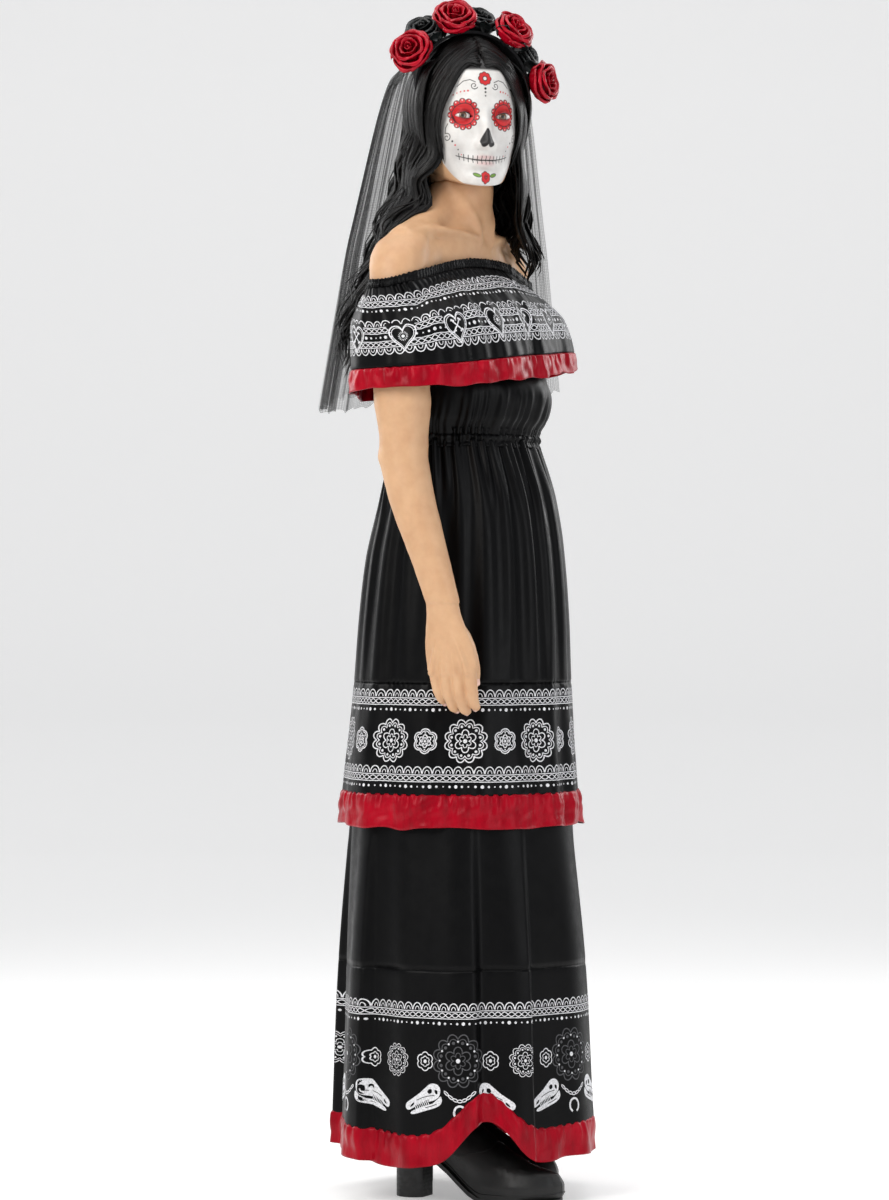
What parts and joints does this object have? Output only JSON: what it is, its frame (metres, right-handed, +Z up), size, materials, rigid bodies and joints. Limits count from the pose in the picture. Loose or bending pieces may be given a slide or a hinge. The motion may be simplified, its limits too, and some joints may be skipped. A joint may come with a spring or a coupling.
{
  "type": "papier-mache catrina figure",
  "caption": "Life-size standing papier-mache skull-lady figure in a tiered ruffled dress, with wig, rose headband, tulle veil and boots; head and arms turn.",
  "frame": {"origin": "centre of the bounding box in plan, on the floor under the boots", "axes": "+Z up; the figure faces -Y and its right hand is towards -X"},
  "size_m": [0.522, 0.4219, 1.7796],
  "materials": {
    "boot_leather": "black grained leather, polished at the toe",
    "boot_rubber": "moulded black rubber sole and heel, scuffed underneath",
    "frame_wood": "sanded, unvarnished pine",
    "plain_papier_mache": "unpainted papier-mache, sized with glue",
    "skin_painted_papier_mache": "papier-mache painted in a warm skin colour, satin varnish",
    "skull_painted_papier_mache": "papier-mache painted white with black, red and green decoration, satin varnish",
    "eye_gloss": "gloss varnished eyes",
    "black_satin": "smooth black satin, gathered",
    "printed_black_satin": "black satin with white lace-like print",
    "red_satin": "shiny red satin, crumpled",
    "black_rose_satin": "shiny black satin ribbon",
    "black_hair": "long wavy black wig fibre",
    "black_tulle": "fine black tulle net, two layers"
  },
  "bodies": {
    "figure": {"right_boot_upper": "boot_leather", "right_boot_sole": "boot_rubber", "right_boot_heel": "boot_rubber", "left_boot_upper": "boot_leather", "left_boot_sole": "boot_rubber", "left_boot_heel": "boot_rubber", "right_leg_post": "frame_wood", "left_leg_post": "frame_wood", "right_leg_shell": "plain_papier_mache", "left_leg_shell": "plain_papier_mache", "hip_block": "frame_wood", "spine_post": "frame_wood", "shoulder_yoke": "frame_wood", "neck_plate": "frame_wood", "neck_peg": "frame_wood", "right_shoulder_block": "frame_wood", "left_shoulder_block": "frame_wood", "right_arm_peg": "frame_wood", "left_arm_peg": "frame_wood", "torso_shell": "skin_painted_papier_mache", "right_shoulder_shell": "skin_painted_papier_mache", "left_shoulder_shell": "skin_painted_papier_mache", "hip_shell": "plain_papier_mache", "neckline_elastic": "black_satin", "ruffle": "printed_black_satin", "ruffle_trim": "red_satin", "bodice": "black_satin", "waist_elastic": "black_satin", "overskirt": "black_satin", "overskirt_border": "printed_black_satin", "overskirt_trim": "red_satin", "underskirt": "black_satin", "underskirt_border": "printed_black_satin", "underskirt_trim": "red_satin"},
    "head": {"head_shell": "skull_painted_papier_mache", "head_block": "frame_wood", "right_eye": "eye_gloss", "left_eye": "eye_gloss", "wig_cap": "black_hair", "fringe": "black_hair", "hair_right": "black_hair", "hair_left": "black_hair", "hair_back": "black_hair", "headband": "black_satin", "rose_red_1": "red_satin", "rose_black_1": "black_rose_satin", "rose_red_2": "red_satin", "rose_black_2": "black_rose_satin", "rose_red_3": "red_satin", "rose_black_3": "black_rose_satin", "rose_red_4": "red_satin", "veil": "black_tulle"},
    "right_arm": {"right_arm_shell": "skin_painted_papier_mache", "right_arm_plug": "frame_wood", "right_hand": "skin_painted_papier_mache"},
    "left_arm": {"left_arm_shell": "skin_painted_papier_mache", "left_arm_plug": "frame_wood", "left_hand": "skin_painted_papier_mache"}
  },
  "joints": [
    {"name": "neck_turn", "type": "hinge", "parent": "figure", "child": "head", "pos_m": [-0.00955, -0.00624, 1.5193], "axis": [0, 0, 1], "range_deg": [-15, 44], "deforming": ["hair_right", "hair_left", "hair_back", "veil"]},
    {"name": "right_arm_turn", "type": "hinge", "parent": "figure", "child": "right_arm", "pos_m": [-0.19755, -0.00224, 1.262], "axis": [0, 0, 1], "range_deg": [-60, 0]},
    {"name": "left_arm_turn", "type": "hinge", "parent": "figure", "child": "left_arm", "pos_m": [0.17845, -0.00224, 1.262], "axis": [0, 0, 1], "range_deg": [0, 60]}
  ]
}
